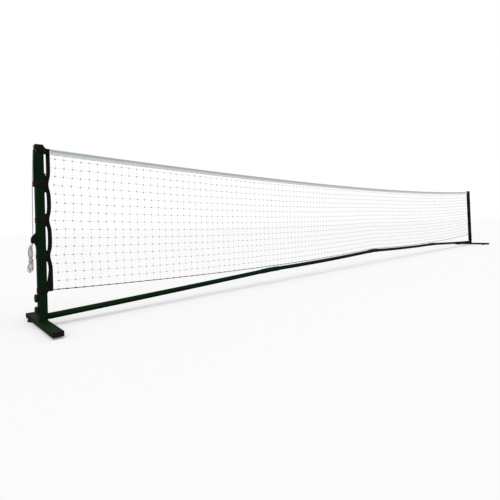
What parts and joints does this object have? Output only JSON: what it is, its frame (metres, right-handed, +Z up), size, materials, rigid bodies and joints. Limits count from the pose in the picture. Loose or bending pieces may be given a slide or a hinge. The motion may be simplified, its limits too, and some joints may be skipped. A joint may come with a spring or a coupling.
{
  "type": "portable pickleball net",
  "caption": "Free-standing court net: square posts on T feet, a jointed base tube, a knotted net with a white top tape, straps, a cord cleat and clamp knobs.",
  "frame": {"origin": "on the floor under the four rubber pads, midway between the two posts and on the net's plane", "axes": "+X along the net towards the plain post, -X towards the post with the cord cleat, +Y across the net, +Z up"},
  "size_m": [6.8, 0.55, 0.93],
  "materials": {
    "painted_tube": "satin",
    "black_plastic": "matte",
    "black_webbing": "matte",
    "zinc_steel": "satin",
    "black_steel": "satin",
    "pad_rubber": "matte",
    "spring_steel": "satin",
    "net_twine": "matte",
    "white_tape": "matte",
    "white_cord": "matte",
    "black_cord": "matte"
  },
  "bodies": {
    "base_frame": {"left_foot_tube": "painted_tube", "right_foot_tube": "painted_tube", "foot_pads": "pad_rubber", "foot_end_plugs": "black_plastic", "base_collars": "painted_tube", "post_spigots": "painted_tube", "bar_spigots": "painted_tube", "bar_section_1": "painted_tube", "bar_section_2": "painted_tube", "bar_section_3": "painted_tube", "bar_section_4": "painted_tube", "bar_coupler_1": "painted_tube", "bar_coupler_2": "painted_tube", "bar_coupler_3": "painted_tube", "coupler_rivets": "zinc_steel", "button_spring_1": "spring_steel", "button_spring_2": "spring_steel", "button_spring_3": "spring_steel", "button_spring_4": "spring_steel", "button_spring_5": "spring_steel", "net_panel": "net_twine", "top_tape": "white_tape", "headline_cord": "white_cord", "bottom_cord": "black_cord", "side_bands": "black_webbing"},
    "left_post": {"left_post_tube": "painted_tube", "left_post_head": "black_plastic", "left_head_strap_screws": "black_steel", "left_clamp_nuts": "painted_tube", "left_side_straps": "black_webbing", "left_top_straps": "black_webbing", "sheave_axle": "zinc_steel", "cord_guide_rail": "painted_tube", "cord_cleat": "black_plastic", "cleat_screws": "zinc_steel", "tension_cord": "white_cord", "cord_tail": "white_cord", "cord_hank": "white_cord"},
    "right_post": {"right_post_tube": "painted_tube", "right_post_head": "black_plastic", "right_head_strap_screws": "black_steel", "right_clamp_nuts": "painted_tube", "right_side_straps": "black_webbing", "right_top_straps": "black_webbing", "headline_anchor_pin": "zinc_steel", "headline_tail": "white_cord"},
    "sheave": {"tension_sheave": "black_plastic"},
    "left_lower_knob_screw": {"left_lower_knob": "black_plastic", "left_lower_stud": "zinc_steel"},
    "left_upper_knob_screw": {"left_upper_knob": "black_plastic", "left_upper_stud": "zinc_steel"},
    "right_lower_knob_screw": {"right_lower_knob": "black_plastic", "right_lower_stud": "zinc_steel"},
    "right_upper_knob_screw": {"right_upper_knob": "black_plastic", "right_upper_stud": "zinc_steel"},
    "button_1": {"snap_button_1": "zinc_steel"},
    "button_2": {"snap_button_2": "zinc_steel"},
    "button_3": {"snap_button_3": "zinc_steel"},
    "button_4": {"snap_button_4": "zinc_steel"},
    "button_5": {"snap_button_5": "zinc_steel"}
  },
  "joints": [
    {"name": "left_post_slide", "type": "slide", "parent": "base_frame", "child": "left_post", "axis": [0, 0, 1], "range_m": [0, 0.06]},
    {"name": "right_post_slide", "type": "slide", "parent": "base_frame", "child": "right_post", "axis": [0, 0, 1], "range_m": [0, 0.06]},
    {"name": "sheave_turn", "type": "hinge", "parent": "left_post", "child": "sheave", "pos_m": [-3.365, 0, 0.897], "axis": [0, 1, 0], "continuous": true},
    {"name": "left_lower_knob_turn", "type": "hinge", "parent": "left_post", "child": "left_lower_knob_screw", "pos_m": [-3.38, 0, 0.09], "axis": [-1, 0, 0], "continuous": true},
    {"name": "left_upper_knob_turn", "type": "hinge", "parent": "left_post", "child": "left_upper_knob_screw", "pos_m": [-3.38, 0, 0.152], "axis": [-1, 0, 0], "continuous": true},
    {"name": "right_lower_knob_turn", "type": "hinge", "parent": "right_post", "child": "right_lower_knob_screw", "pos_m": [3.38, 0, 0.09], "axis": [1, 0, 0], "continuous": true},
    {"name": "right_upper_knob_turn", "type": "hinge", "parent": "right_post", "child": "right_upper_knob_screw", "pos_m": [3.38, 0, 0.152], "axis": [1, 0, 0], "continuous": true},
    {"name": "button_1_press", "type": "slide", "parent": "base_frame", "child": "button_1", "axis": [0, 0, -1], "range_m": [0, 0.006], "stiffness_N_per_m": 800, "springref_m": -0.002, "deforming": ["button_spring_1"]},
    {"name": "button_2_press", "type": "slide", "parent": "base_frame", "child": "button_2", "axis": [0, 0, -1], "range_m": [0, 0.006], "stiffness_N_per_m": 800, "springref_m": -0.002, "deforming": ["button_spring_2"]},
    {"name": "button_3_press", "type": "slide", "parent": "base_frame", "child": "button_3", "axis": [0, 0, -1], "range_m": [0, 0.006], "stiffness_N_per_m": 800, "springref_m": -0.002, "deforming": ["button_spring_3"]},
    {"name": "button_4_press", "type": "slide", "parent": "base_frame", "child": "button_4", "axis": [0, 0, -1], "range_m": [0, 0.006], "stiffness_N_per_m": 800, "springref_m": -0.002, "deforming": ["button_spring_4"]},
    {"name": "button_5_press", "type": "slide", "parent": "base_frame", "child": "button_5", "axis": [0, 0, -1], "range_m": [0, 0.006], "stiffness_N_per_m": 800, "springref_m": -0.002, "deforming": ["button_spring_5"]}
  ]
}
